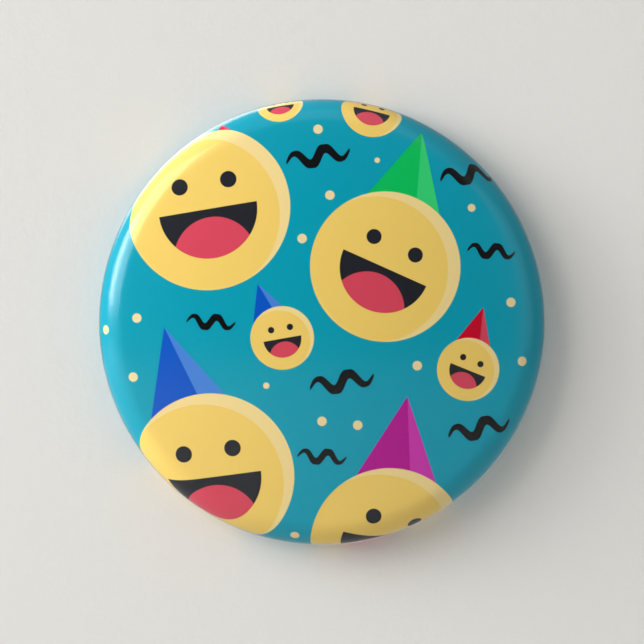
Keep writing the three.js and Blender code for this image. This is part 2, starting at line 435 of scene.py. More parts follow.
class SurfaceWear:
    """The handling marks that film, plate and wire share: hairline scratches and faint smudges."""

    HAIR_STRETCH = (1, 1, 14)
    HAIR_TURN = (0.2, 0.9, 0.4)  # radians about X, Y and Z
    HAIR_DETAIL, HAIR_ROUGHNESS = 3.0, 0.65
    SCRATCH_LEVEL, SCRATCH_GAIN = 0.6, 9.0  # noise above the level shows as a scratch
    SMUDGE_DETAIL, SMUDGE_GAIN, SMUDGE_OFFSET = 4.0, 2.4, -0.7

    def __init__(self) -> None:
        """Builds the node group that the finishes place."""
        tree, entry, leave = Tree.group(
            "surface wear",
            {"Vector": "Vector", "Scratch Scale": "Float", "Smudge Scale": "Float"},
            {"Scratches": "Float", "Smudges": "Float"},
        )
        place = entry.outputs["Vector"]
        hairs = {"Vector": place, "Rotation": self.HAIR_TURN, "Scale": self.HAIR_STRETCH}
        drawn_out = tree.node("Mapping", hairs)
        scale = entry.outputs["Scratch Scale"]
        hair = tree.noise(drawn_out.outputs[0], scale, self.HAIR_DETAIL, self.HAIR_ROUGHNESS)
        thin = tree.math("SUBTRACT", hair, self.SCRATCH_LEVEL)
        scratch = tree.math("MULTIPLY", thin, self.SCRATCH_GAIN, clamp=True)
        blotch = tree.noise(place, entry.outputs["Smudge Scale"], self.SMUDGE_DETAIL)
        smudge = tree.math("MULTIPLY_ADD", blotch, self.SMUDGE_GAIN, self.SMUDGE_OFFSET, clamp=True)
        tree.feed(leave.inputs["Scratches"], scratch)
        tree.feed(leave.inputs["Smudges"], smudge)
        self.group = tree.tree


@dataclass(frozen=True)
class MetalFinish:
    """A bare metal with a grain, scratches and smudges."""

    name: str
    colour: Colour
    roughness: float
    grain_scale: float
    grain_stretch: tuple[float, float, float]
    grain_depth: float
    grain_shade: float
    scratch_depth: float
    MARK_SCALES = {"Scratch Scale": 420.0, "Smudge Scale": 130.0}
    GRAIN_DETAIL = 4.0
    POLISH = 0.05  # how much smoother than its named roughness the metal is between grain and smudges
    SMUDGE_ROUGHNESS, GRAIN_ROUGHNESS = 0.13, 0.08
    STREAK_GAIN, STREAK_OFFSET = 3.0, -1.0
    SMUDGE_SHADE = 0.9
    GRAIN_RELIEF, SCRATCH_RELIEF = 0.35, 0.5

    def shade(self, share: float) -> Colour:
        """The metal's colour darkened to a share of itself."""
        return (*(share * value for value in self.colour[:3]), 1.0)

    def build(self, wear: SurfaceWear) -> bpy.types.Material:
        """The finish as a material."""
        material, tree = Tree.material(self.name)
        place = tree.node("TexCoord").outputs["Object"]
        grain_place = tree.node("Mapping", {"Vector": place, "Scale": self.grain_stretch})
        grain = tree.noise(grain_place.outputs[0], self.grain_scale, self.GRAIN_DETAIL)
        marks = tree.placed(wear.group, {"Vector": place, **self.MARK_SCALES})
        smudges, scratches = marks.outputs["Smudges"], marks.outputs["Scratches"]
        rough = tree.math("MULTIPLY_ADD", smudges, self.SMUDGE_ROUGHNESS, self.roughness - self.POLISH)
        rougher = tree.math("MULTIPLY_ADD", grain, self.GRAIN_ROUGHNESS, rough)
        streaks = tree.math("MULTIPLY_ADD", grain, self.STREAK_GAIN, self.STREAK_OFFSET, clamp=True)
        streaked = tree.mix(streaks, self.shade(self.grain_shade), self.colour)
        tint = tree.mix(smudges, streaked, self.shade(self.SMUDGE_SHADE * self.grain_shade))
        fine = tree.bump(grain, self.GRAIN_RELIEF, self.grain_depth)
        scratched = tree.bump(scratches, self.SCRATCH_RELIEF, self.scratch_depth, fine, sunk=True)
        shader = tree.node(
            "BsdfPrincipled", {"Base Color": tint, "Metallic": 1.0, "Roughness": rougher, "Normal": scratched}
        )
        tree.finish(shader.outputs[0])
        return material


@dataclass(frozen=True)
class FilmFinish:
    """Clear polyester film: light goes straight through it, and its outside mirrors the room at a slant."""

    roughness: float = 0.15
    refraction: float = 1.5
    MARK_SCALES = {"Scratch Scale": 300.0, "Smudge Scale": 90.0}
    SMUDGE_ROUGHNESS = 0.05
    RIPPLE_SCALE, RIPPLE_DETAIL, RIPPLE_RELIEF, RIPPLE_DEPTH = 260.0, 2.0, 0.1, 0.02 * MM

    def build(self, wear: SurfaceWear) -> bpy.types.Material:
        """The finish as a material."""
        material, tree = Tree.material("clear film")
        place = tree.node("TexCoord").outputs["Object"]
        marks = tree.placed(wear.group, {"Vector": place, **self.MARK_SCALES})
        rough = tree.math("MULTIPLY_ADD", marks.outputs["Smudges"], self.SMUDGE_ROUGHNESS, self.roughness)
        ripple = tree.noise(place, self.RIPPLE_SCALE, self.RIPPLE_DETAIL)
        normal = tree.bump(ripple, self.RIPPLE_RELIEF, self.RIPPLE_DEPTH)
        mirror = tree.node("BsdfGlossy", {"Roughness": rough, "Normal": normal})
        clear = tree.node("BsdfTransparent")
        slant = tree.node("Fresnel", {"IOR": self.refraction, "Normal": normal})
        outside = tree.math("SUBTRACT", 1.0, tree.node("NewGeometry").outputs["Backfacing"])
        share = tree.math("MULTIPLY", slant.outputs[0], outside)
        shader = tree.node("MixShader", {0: share, 1: clear.outputs[0], 2: mirror.outputs[0]})
        tree.finish(shader.outputs[0])
        return material


# ---------------------------------------------------------------- the print


class Ink(Enum):
    """The print's inks."""

    GROUND = paint(0, 165, 190)
    YELLOW = paint(254, 218, 114)
    PALE_YELLOW = paint(255, 229, 158)
    CREAM = paint(250, 228, 172)
    DARK = paint(36, 38, 45)
    RED = paint(226, 76, 98)
    BLACK = paint(8, 8, 10)


class HatInk(Enum):
    """Each party hat's own ink and its lighter side."""

    GREEN = (paint(0, 202, 98), paint(56, 220, 126))
    BLUE = (paint(0, 90, 204), paint(76, 138, 222))
    RED = (paint(214, 0, 46), paint(226, 78, 100))
    MAGENTA = (paint(190, 0, 154), paint(214, 56, 182))


@dataclass(frozen=True)
class Face:
    """A round smiling face in the print: its middle and radius in millimetres, and its lean in degrees."""

    x: float
    y: float
    radius: float
    lean: float


@dataclass(frozen=True)
class Hat:
    """A party hat behind a face: the middle of its base, its half width, height and lean."""

    x: float
    y: float
    half_width: float
    height: float
    lean: float
    ink: HatInk


@dataclass(frozen=True)
class Streamer:
    """A wavy paper streamer: its middle and half length in millimetres, and its lean in degrees."""

    x: float
    y: float
    half_length: float
    lean: float


@dataclass(frozen=True)
class Dot:
    """A dot of confetti: its middle and radius in millimetres."""

    x: float
    y: float
    radius: float


Motif = Face | Hat | Streamer

FACES = (
    Face(-14.5, 14.5, 10.5, 9),
    Face(8, 7, 9.5, -24),
    Face(-5, -2, 4, 10),
    Face(18.5, -6, 4, -22),
    Face(-14, -19.5, 10.5, 8),
    Face(8.5, -28.5, 10, -18),
    Face(-5.5, 28.5, 3, 6),
    Face(6.5, 27.5, 4, -14),
)
HATS = (
    Hat(10.3, 15.0, 4.7, 9.6, -15, HatInk.GREEN),
    Hat(-6.7, 1.2, 2.0, 3.9, 21, HatInk.BLUE),
    Hat(19.3, -2.3, 2.0, 4.3, -15, HatInk.RED),
    Hat(-16.9, -10.7, 5.0, 10.5, 17, HatInk.BLUE),
    Hat(9.5, -19.5, 4.9, 10.2, -7, HatInk.MAGENTA),
    Hat(-11.8, 22.0, 2.2, 4.4, 20, HatInk.RED),
)
STREAMERS = (
    Streamer(-0.5, 21, 4.1, 10),
    Streamer(19, 19, 4.1, 12),
    Streamer(2.5, -7.5, 4.1, 10),
    Streamer(20, -13.5, 4.1, 12),
    Streamer(21.5, 9, 3.1, -4),
    Streamer(-14, 0, 3.1, -4),
    Streamer(0, -17, 3.1, -4),
)
DOTS = (
    Dot(-0.5, 24.5, 0.6), Dot(7, 20.5, 0.35), Dot(1, 16, 0.6), Dot(-2.5, 10.5, 0.6), Dot(19, 14.5, 0.5),
    Dot(24, 2.5, 0.6), Dot(25.5, -5, 0.6), Dot(12, -5.5, 0.6), Dot(-7, -8, 0.4), Dot(0, -12.5, 0.6),
    Dot(4.5, -13, 0.6), Dot(-23.5, 0.5, 0.6), Dot(-24, -7, 0.6), Dot(-28, -1, 0.6), Dot(-3.5, -27.5, 0.6),
)


class PrintFinish:
    """The party print: faces, hats, streamers and confetti on a plain ground, each laid over the last."""

    EDGE_BLUR = 0.05  # millimetres over which an ink's edge fades
    # circles in a face of radius 1, as middle and radius; the shaded crescent lies outside the first
    CRESCENT = (-0.11, -0.09, 0.97)
    EYE = (0.3, 0.3, 0.1)
    MOUTH = (0, -0.02, 0.6)
    TONGUE = (0, -0.62, 0.5)
    HAT_DROP = 0.25  # how far a hat of height 1 goes on below its base, behind the face
    HAT_FOLD = 0.35  # where the lighter side starts, in shares of the half width
    WAVE_PACE, WAVE_HEIGHT = 6.5, 0.2
    RIBBON_WIDTH, RIBBON_NARROWING = 0.15, 0.12
    MOTTLE_SCALE, MOTTLE_DETAIL, MOTTLE_GAIN, MOTTLE_OFFSET = 6.0, 3.0, 0.1, -0.03
    FIBRE_SCALE, FIBRE_DETAIL, FIBRE_RELIEF, FIBRE_DEPTH = 14.0, 4.0, 0.15, 0.01 * MM
    ROUGHNESS, MOTTLE_ROUGHNESS, SPECULAR = 0.48, 0.1, 0.05

    def __init__(self, sheet_radius: float) -> None:
        """Args: sheet_radius is the flat paper's radius, which its map spreads over."""
        self.sheet_radius = sheet_radius
        self.face_group = self.face()
        self.hat_group = self.hat()
        self.streamer_group = self.streamer()

    @classmethod
    def face(cls) -> bpy.types.NodeTree:
        """A face of radius 1: two dots for eyes and a half-round mouth with a red lower part."""
        tree, entry, leave = Tree.group(
            "smiling face", {"Vector": "Vector", "Sharpness": "Float"}, {"Colour": "Color", "Mask": "Float"}
        )
        place, sharp = entry.outputs["Vector"], entry.outputs["Sharpness"]
        axes = tree.node("SeparateXYZ", {0: place})
        disc = tree.mask(tree.inside_circle(place, 0, 0, 1.0), sharp)
        x, y, radius = cls.CRESCENT
        crescent = tree.mask(tree.math("SUBTRACT", tree.distance(place, x, y), radius), sharp)
        skin = tree.mix(crescent, Ink.YELLOW.value, Ink.PALE_YELLOW.value)
        folded = tree.node("CombineXYZ", {0: tree.math("ABSOLUTE", axes.outputs[0]), 1: axes.outputs[1]})
        eyes = tree.mask(tree.inside_circle(folded.outputs[0], *cls.EYE), sharp)
        seeing = tree.mix(eyes, skin, Ink.DARK.value)
        bowl = tree.inside_circle(place, *cls.MOUTH)
        below = tree.math("SUBTRACT", cls.MOUTH[1], axes.outputs[1])
        open_mouth = tree.math("MINIMUM", bowl, below)
        mouth = tree.mix(tree.mask(open_mouth, sharp), seeing, Ink.DARK.value)
        lower = tree.inside_circle(place, *cls.TONGUE)
        tongue = tree.mask(tree.math("MINIMUM", lower, open_mouth), sharp)
        tree.feed(leave.inputs["Colour"], tree.mix(tongue, mouth, Ink.RED.value))
        tree.feed(leave.inputs["Mask"], disc)
        return tree.tree

    @classmethod
    def hat(cls) -> bpy.types.NodeTree:
        """A hat from a base of half width 1 to a point at height 1, its right side lighter."""
        tree, entry, leave = Tree.group(
            "party hat",
            {"Vector": "Vector", "Sharpness": "Float", "Ink": "Color", "Light Ink": "Color"},
            {"Colour": "Color", "Mask": "Float"},
        )
        sharp = entry.outputs["Sharpness"]
        axes = tree.node("SeparateXYZ", {0: entry.outputs["Vector"]})
        narrowing = tree.math("SUBTRACT", 1.0, axes.outputs[1])
        sides = tree.math("SUBTRACT", narrowing, tree.math("ABSOLUTE", axes.outputs[0]))
        base = tree.math("ADD", axes.outputs[1], cls.HAT_DROP)
        fold = tree.math("MULTIPLY_ADD", narrowing, -cls.HAT_FOLD, axes.outputs[0])
        colour = tree.mix(tree.mask(fold, sharp), entry.outputs["Ink"], entry.outputs["Light Ink"])
        tree.feed(leave.inputs["Colour"], colour)
        tree.feed(leave.inputs["Mask"], tree.mask(tree.math("MINIMUM", sides, base), sharp))
        return tree.tree

    @classmethod
    def streamer(cls) -> bpy.types.NodeTree:
        """A ribbon along y = 0.2 sin(6.5 x) for x from -1 to 1, of even width and narrowing at its ends."""
        tree, entry, leave = Tree.group(
            "streamer", {"Vector": "Vector", "Sharpness": "Float"}, {"Mask": "Float"}
        )
        axes = tree.node("SeparateXYZ", {0: entry.outputs["Vector"]})
        along = tree.math("MULTIPLY", axes.outputs[0], cls.WAVE_PACE)
        wave = tree.math("MULTIPLY", tree.math("SINE", along), cls.WAVE_HEIGHT)
        off = tree.math("ABSOLUTE", tree.math("SUBTRACT", axes.outputs[1], wave))
        slope = tree.math("MULTIPLY", tree.math("COSINE", along), cls.WAVE_PACE * cls.WAVE_HEIGHT)
        steepness = tree.math("SQRT", tree.math("MULTIPLY_ADD", slope, slope, 1.0))
        gap = tree.math("DIVIDE", off, steepness)
        end = tree.math("MULTIPLY", axes.outputs[0], axes.outputs[0])
        width = tree.math("MULTIPLY_ADD", end, -cls.RIBBON_NARROWING, cls.RIBBON_WIDTH)
        inside = tree.math("MINIMUM", tree.math("SUBTRACT", width, gap), tree.math("SUBTRACT", 1.0, end))
        tree.feed(leave.inputs["Mask"], tree.mask(inside, entry.outputs["Sharpness"]))
        return tree.tree

    def stamp(
        self, tree: Tree, place: Feed, motif: Motif, size: tuple[float, float], group: bpy.types.NodeTree,
        **inks: Colour,
    ) -> bpy.types.Node:
        """Places a motif's group on its own coordinates: moved to its middle, turned upright, of size 1.

        Args:
            tree: the tree that is drawn in.
            place: the place on the flat paper.
            motif: what is drawn.
            size: the motif's half width and height.
            group: the group that draws its kind.
            inks: colours that the group takes.

        Returns:
            The placed group.
        """
        where = {
            "Vector": place,
            "Location": (motif.x, motif.y, 0),
            "Rotation": (0, 0, math.radians(motif.lean)),
            "Scale": (*size, 1),
        }
        own = tree.node("Mapping", where, vector_type="TEXTURE").outputs[0]
        return tree.placed(group, {"Vector": own, "Sharpness": size[0] / self.EDGE_BLUR, **inks})

    def artwork(self, tree: Tree, place: bpy.types.NodeSocket) -> bpy.types.NodeSocket:
        """The whole picture's colour at a place on the flat paper, in millimetres from its middle."""
        confetti: Feed = -1.0
        for dot in DOTS:
            confetti = tree.math("MAXIMUM", tree.inside_circle(place, dot.x, dot.y, dot.radius), confetti)
        colour = tree.mix(tree.mask(confetti, 1 / self.EDGE_BLUR), Ink.GROUND.value, Ink.CREAM.value)
        for item in STREAMERS:
            drawn = self.stamp(tree, place, item, (item.half_length, item.half_length), self.streamer_group)
            colour = tree.mix(drawn.outputs["Mask"], colour, Ink.BLACK.value)
        for item in HATS:
            inks = dict(zip(("Ink", "Light Ink"), item.ink.value))
            drawn = self.stamp(tree, place, item, (item.half_width, item.height), self.hat_group, **inks)
            colour = tree.mix(drawn.outputs["Mask"], colour, drawn.outputs["Colour"])
        for item in FACES:
            drawn = self.stamp(tree, place, item, (item.radius, item.radius), self.face_group)
            colour = tree.mix(drawn.outputs["Mask"], colour, drawn.outputs["Colour"])
        return colour

    def build(self) -> bpy.types.Material:
        """The print as a material: the picture with a faint mottle where ink has sunk into the paper."""
        material, tree = Tree.material("party print")
        sheet = tree.node("UVMap", uv_map=PrintedDisc.MAP).outputs[0]
        across = 2 * self.sheet_radius / MM
        centred = tree.node("VectorMath", {0: sheet, 1: (0.5, 0.5, 0)}, operation="SUBTRACT").outputs[0]
        place = tree.node("VectorMath", {0: centred, "Scale": across}, operation="SCALE").outputs[0]
        colour = self.artwork(tree, place)
        mottle = tree.noise(place, self.MOTTLE_SCALE, self.MOTTLE_DETAIL)
        sunk = tree.math("MULTIPLY_ADD", mottle, self.MOTTLE_GAIN, self.MOTTLE_OFFSET, clamp=True)
        inked = tree.mix(sunk, colour, Ink.BLACK.value)
        fibre = tree.noise(place, self.FIBRE_SCALE, self.FIBRE_DETAIL)
        normal = tree.bump(fibre, self.FIBRE_RELIEF, self.FIBRE_DEPTH)
        rough = tree.math("MULTIPLY_ADD", mottle, self.MOTTLE_ROUGHNESS, self.ROUGHNESS)
        shader = tree.node(
            "BsdfPrincipled",
            {"Base Color": inked, "Roughness": rough, "Normal": normal, "Specular IOR Level": self.SPECULAR},
        )
        tree.finish(shader.outputs[0])
        return material


# ---------------------------------------------------------------- the badge's pieces


@dataclass
class Skins:
    """The layers that follow the dome: their profiles, and the puckers where their margins are drawn in."""

    sizes: BadgeSizes
    segments: int = 384
    dome_steps: int = 26
    shoulder_steps: int = 14
    rim_steps: int = 24
    hem_steps: int = 10
    lap_steps: int = 8
    lap_angle: float = math.radians(60)
    pucker_height: float = 0.2 * MM
    pucker_counts: tuple[int, ...] = (29, 41, 53)
    pucker_power: int = 8
    pucker_fall: float = 0.5
    pucker_lag: float = 1.5
    pucker_seed: int = 7

    def profile(self, depth: float, hemmed: bool) -> np.ndarray:
        """The path of a layer's face: dome, shoulder, rolled edge and, where hemmed, round the raw edge and
        back.

        Args:
            depth: how far the face lies under the film's outside.
            hemmed: whether the layer's margin is wrapped round the shell's edge.

        Returns:
            Rows of distance from the axis, Y, and the direction away from the shell.
        """
        s = self.sizes
        rim = np.array([s.radius - s.rim_radius, -s.rim_radius])
        shoulder = np.array([s.radius - s.shoulder_radius, rim[1] - s.side_wall])
        dome_y = shoulder[1] + math.sqrt((s.dome_radius - s.shoulder_radius) ** 2 - shoulder[0] ** 2)
        meet = math.atan2(shoulder[1] - dome_y, shoulder[0])
        hem_radius = s.shell_depth + s.shell / 2
        rows = [
            arc((0, dome_y), s.dome_radius - depth, -math.pi / 2, meet, self.dome_steps),
            arc(shoulder, s.shoulder_radius - depth, meet, 0, self.shoulder_steps)[1:],
            arc(rim, s.rim_radius - depth, 0, math.pi, self.rim_steps),
        ]
        if hemmed:
            hem = (rim[0] - s.rim_radius + hem_radius, rim[1])
            lap_radius = s.rim_radius - 2 * hem_radius + depth
            lap = arc(rim, lap_radius, math.pi, math.pi - self.lap_angle, self.lap_steps)
            lap[:, 2:] *= -1
            rows += [arc(hem, hem_radius - depth, math.pi, 2 * math.pi, self.hem_steps)[1:], lap[1:]]
        path = np.vstack(rows)
        path[0, 0] = 0
        return path

    def puckers(self, path: np.ndarray) -> np.ndarray:
        """How far the margin stands off in radial pleats. Each pleat is the eighth power of a raised cosine
        of the angle. Three pitches overlap, each lower than the last, and the highest at each angle counts.
        The pleats grow from the rim's back to its inner side.

        Args:
            path: the layer's profile, of which only the count of its rows is used.

        Returns:
            The height for each row and each step round.
        """
        turn = np.linspace(0, 2 * np.pi, self.segments, endpoint=False)
        phases = np.random.default_rng(self.pucker_seed).uniform(0, 2 * np.pi, len(self.pucker_counts))
        waves = [
            (0.5 + 0.5 * np.cos(count * turn + phase)) ** self.pucker_power / (1 + self.pucker_fall * k)
            for k, (count, phase) in enumerate(zip(self.pucker_counts, phases))
        ]
        around = np.max(waves, axis=0)
        first = self.dome_steps + self.shoulder_steps + self.rim_steps // 3
        last = self.dome_steps + self.shoulder_steps + self.rim_steps
        share = np.clip((np.arange(len(path)) - first) / (last - first), 0, 1)
        growth = np.sin(np.pi * share**self.pucker_lag) ** 2 * (np.arange(len(path)) <= last)
        return self.pucker_height * growth[:, None] * around[None, :]

    def sheet(self, name: str, depth: float, thickness: float, hemmed: bool) -> bpy.types.Object:
        """A layer as a solid, from its face to its back."""
        face = self.profile(depth, hemmed)
        back = self.profile(depth + thickness, hemmed)[::-1]
        lift = None
        if hemmed:
            pleats = self.puckers(face)
            lift = np.vstack([pleats, pleats[::-1]])
        return turned(name, np.vstack([face, back]), self.segments, lift)


@dataclass
class ClearFilm:
    """The clear film over the print."""

    skins: Skins

    def build(self, finish: bpy.types.Material) -> bpy.types.Object:
        """The film, dressed and placed on the badge."""
        piece = self.skins.sheet("film", 0, self.skins.sizes.film, hemmed=True)
        piece.data.materials.append(finish)
        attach(piece, "badge")
        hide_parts("clear_film")
        return piece


@dataclass
class PrintedDisc:
    """The printed paper, with a map of the sheet as it was before it was pressed round the shell."""

    skins: Skins
    MAP = "OFBake"
    BACK_ISLAND = (0.08, 0.078)  # the unprinted back's place and radius in a corner of the map

    def flat_reach(self) -> np.ndarray:
        """How far each row of the face lies from the flat sheet's middle, along the paper."""
        path = self.skins.profile(self.skins.sizes.paper_depth, hemmed=True)
        steps = np.linalg.norm(np.diff(path[:, :2], axis=0), axis=1)
        return np.concatenate([[0], np.cumsum(steps)])

    def add_map(self, piece: bpy.types.Object) -> None:
        """Lays the face out as the flat disc it was cut to, and the back as a small disc in the corner."""
        reach = self.flat_reach()
        rows, segments = len(reach), self.skins.segments
        mesh = piece.data
        corner = np.zeros(len(mesh.loops), np.int32)
        mesh.loops.foreach_get("vertex_index", corner)
        sides = np.zeros(len(mesh.polygons), np.int32)
        mesh.polygons.foreach_get("loop_total", sides)
        last = 2 * rows - 2
        band = np.concatenate([
            np.zeros(segments, int), np.repeat(np.arange(1, last), segments), np.full(segments, last),
        ])
        ring = np.where(corner == 0, 0, (corner - 1) // segments + 1)
        turn = 2 * np.pi * ((corner - 1) % segments) / segments
        band = np.repeat(band, sides)
        mirrored = 2 * rows - 1 - ring
        face_reach = reach[np.clip(ring, 0, rows - 1)] / (2 * reach[-1])
        back_reach = reach[np.clip(mirrored, 0, rows - 1)] / reach[-1] * self.BACK_ISLAND[1]
        on_back = band >= rows
        middle = np.where(on_back, self.BACK_ISLAND[0], 0.5)
        spread = np.where(on_back, back_reach, face_reach)
        flat = np.stack([middle + spread * np.cos(turn), middle + spread * np.sin(turn)], axis=1)
        layer = mesh.uv_layers.new(name=self.MAP)
        layer.data.foreach_set("uv", flat.astype(np.float32).ravel())

    def build(self) -> bpy.types.Object:
        """The disc, dressed and placed on the badge."""
        sizes = self.skins.sizes
        piece = self.skins.sheet("print_sheet", sizes.paper_depth, sizes.paper, hemmed=True)
        self.add_map(piece)
        piece.data.materials.append(PrintFinish(float(self.flat_reach()[-1])).build())
        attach(piece, "badge")
        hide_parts("printed_disc")
        return piece


@dataclass
class FrontShell:
    """The domed tinplate shell."""

    skins: Skins

    def build(self, finish: bpy.types.Material) -> bpy.types.Object:
        """The shell, dressed and placed on the badge."""
        sizes = self.skins.sizes
        piece = self.skins.sheet("shell", sizes.shell_depth, sizes.shell, hemmed=False)
        piece.data.materials.append(finish)
        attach(piece, "badge")
        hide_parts("front_shell")
        return piece


@dataclass
class BackPlate:
    """The pressed plate: bead, lip, two straps over the wire, the catch, and the openings they leave."""

    sizes: BadgeSizes
    segments: int = 192
    bead_inset: float = 5.275 * MM
    bead_half_width: float = 1.1 * MM
    bead_height: float = 0.3 * MM
    flat_radius: float = 19.5 * MM
    corner_radius: float = 0.6 * MM
    strap_width: float = 2.4 * MM
    strap_clearance: float = 0.1 * MM
    catch_clearance: float = 0.15 * MM
    catch_reach: float = 0.7 * MM
    catch_flare: float = 0.18 * MM
    lip_round_start: float = 0.45
    lip_round_end: float = 0.97
    lip_narrowing: float = 0.42
    mouth_gap: float = 0.15 * MM
    foot_bend: float = 0.3 * MM
    foot_length: float = 0.25 * MM
    foot_share: float = 0.7
    shear_gap: float = 0.05 * MM
    burr: float = 0.07 * MM
    tail_clearance: float = 0.2 * MM
    bead_skirt: float = 1.15
    bead_points: int = 29
    corner_steps: int = 10
    foot_steps: int = 8
    strap_steps: int = 22
    hook_steps: int = 14
    lip_points: int = 12
    lip_first: float = 0.1
    band_sides: int = 28
    hole_sides: int = 40
    cut_depths: tuple[float, ...] = (1.0, 0.0, -0.25, -0.75, -1.0, -2.0)
    cut_burrs: tuple[float, ...] = (1, 1, 0, 0, 1, 1)
    band_powers: tuple[float, float] = (0.12, 0.35)
    slot_power: float = 0.25
    flat_crease: float = math.radians(14)
    flat_level: float = 0.9999

    def face_path(self) -> np.ndarray:
        """The cloth side's path: flat, with a bead whose height is a squared cosine of the distance from its
        middle, then round the corner and down the lip."""
        s = self.sizes
        bead = s.plate_radius - self.bead_inset
        across = np.linspace(-1, 1, self.bead_points)
        rise = self.bead_height * np.cos(np.pi * across / 2) ** 2
        skirt = self.bead_skirt * self.bead_half_width
        inner = bead - skirt
        flat = np.array([[0, 0], [inner / 3, 0], [inner * 2 / 3, 0], [self.flat_radius, 0], [inner, 0]])
        ridge = np.stack([bead + across * self.bead_half_width, rise], axis=1)
        outer = np.array([[bead + skirt, 0]])
        turn_centre = (s.plate_radius - self.corner_radius, -self.corner_radius)
        corner = arc(turn_centre, self.corner_radius, math.pi / 2, 0, self.corner_steps)[:, :2]
        lip = np.array([[s.plate_radius, s.lip_end_y - s.plate_y]])
        path = np.vstack([flat, ridge, outer, corner, lip])
        path[:, 1] += s.plate_y
        return path

    def disc(self) -> bpy.types.Object:
        """The plate before it is lanced: its face, and the same path set in by the sheet's thickness."""
        face = self.face_path()
        along = directions(face)
        inner = face - self.sizes.sheet * np.stack([-along[:, 1], along[:, 0]], axis=1)
        inner[0, 0] = 0
        inner[-1] = [face[-1, 0] - self.sizes.sheet, face[-1, 1]]
        path = np.vstack([inner, face[::-1]])
        return turned("plate", np.hstack([path, np.zeros_like(path)]), self.segments)

    def strip(
        self, name: str, path: np.ndarray, widths: np.ndarray, along: np.ndarray, across: np.ndarray,
        origin: np.ndarray,
    ) -> bpy.types.Object:
        """A band of the plate's sheet, bent along a flat path and rounded at its cut edges.

        Args:
            name: the object's name.
            path: the band's middle line, as distances along and up from the origin.
            widths: the band's half width at each point of the path.
            along, across: the directions of the path's first distance and of the band's width.
            origin: where the path's distances start.

        Returns:
            The band as a solid.
        """
        up = np.array([0, 1, 0])
        tangent = directions(path)
        centres = origin + path[:, 0:1] * along + path[:, 1:2] * up
        heights = (-self.sizes.sheet / 2, self.foot_bend)
        gauges = np.interp(path[:, 1], heights, (self.foot_share, 1))[:, None]
        tops = (-tangent[:, 1:2] * along + tangent[:, 0:1] * up) * gauges * self.sizes.sheet / 2
        section = outline(self.band_sides, *self.band_powers)
        return swept(name, centres, widths[:, None] * across, tops, section)

    def foot(self, reach: float, outwards: float) -> np.ndarray:
        """A band's path out of the plate: flat in the sheet, then a quarter bend up at a distance."""
        middle = -self.sizes.sheet / 2
        start = reach + outwards * (self.foot_bend + self.foot_length)
        centre = (reach + outwards * self.foot_bend, middle + self.foot_bend)
        last = -math.pi / 2 - outwards * math.pi / 2
        bend = arc(centre, self.foot_bend, -math.pi / 2, last, self.foot_steps)[:, :2]
        return np.vstack([[[start, middle]], bend])

    def strap(self, number: int) -> bpy.types.Object:
        """A strap over the wire: up out of the plate, round the wire and down into it again."""
        s = self.sizes
        radius = s.wire_radius + self.strap_clearance + s.sheet / 2
        rise = s.axle[1] - s.plate_y
        left = self.foot(-radius, -1)
        arch = arc((0, rise), radius, math.pi, 0, self.strap_steps)[:, :2]
        right = self.foot(radius, 1)[::-1]
        path = np.vstack([left, arch, right])
        widths = np.full(len(path), self.strap_width / 2)
        place = np.array([s.axle[0], s.plate_y, (0.5 - number) * s.strap_spacing])
        return self.strip(f"strap_{number}", path, widths, np.array([1, 0, 0]), np.array([0, 0, 1]), place)

    @property
    def latched_z(self) -> float:
        """The height of the needle under the catch."""
        return self.sizes.needle_z + self.catch_reach + self.mouth_gap + self.sizes.wire_radius

    def catch(self) -> bpy.types.Object:
        """The catch: up out of the plate, over the latched needle, and out to a rounded, flared lip."""
        s = self.sizes
        radius = s.wire_radius + self.catch_clearance + s.sheet / 2
        rise = s.axle[1] - s.plate_y
        hook = arc((0, rise), radius, math.pi, math.pi / 2, self.hook_steps)[:, :2]
        share = np.linspace(self.lip_first, 1, self.lip_points)[:, None]
        lip = np.hstack([share * self.catch_reach, rise + radius + self.catch_flare * share**2])
        path = np.vstack([self.foot(-radius, -1), hook, lip])
        past = (path[:, 0] / self.catch_reach - self.lip_round_start) / (1 - self.lip_round_start)
        rounding = np.clip(past, 0, self.lip_round_end)
        widths = s.catch_width / 2 * (1 - self.lip_narrowing * (1 - np.sqrt(1 - rounding**2)))
        place = np.array([s.catch_x, s.plate_y, self.latched_z])
        return self.strip("catch", path, widths, np.array([0, 0, -1]), np.array([1, 0, 0]), place)

    def opening(
        self, name: str, x: float, z: float, half_x: float, half_z: float, power: float
    ) -> bpy.types.Object:
        """A cutter through the plate, wider at the sheet's faces so that the opening's edges are rolled.

        Args:
            name: the object's name.
            x, z: the opening's middle.
            half_x, half_z: its half sizes.
            power: 1 for a round hole, less for a squarer one.

        Returns:
            The cutter, as a solid.
        """
        s = self.sizes
        depth = np.array(self.cut_depths) * s.sheet
        grow = np.array(self.cut_burrs) * self.burr
        centres = np.stack([np.full_like(depth, x), s.plate_y + depth, np.full_like(depth, z)], axis=1)
        sides = (half_x + grow)[:, None] * np.array([1, 0, 0])
        tops = (half_z + grow)[:, None] * np.array([0, 0, 1])
        return swept(name, centres, sides, tops, outline(self.hole_sides, power, power))

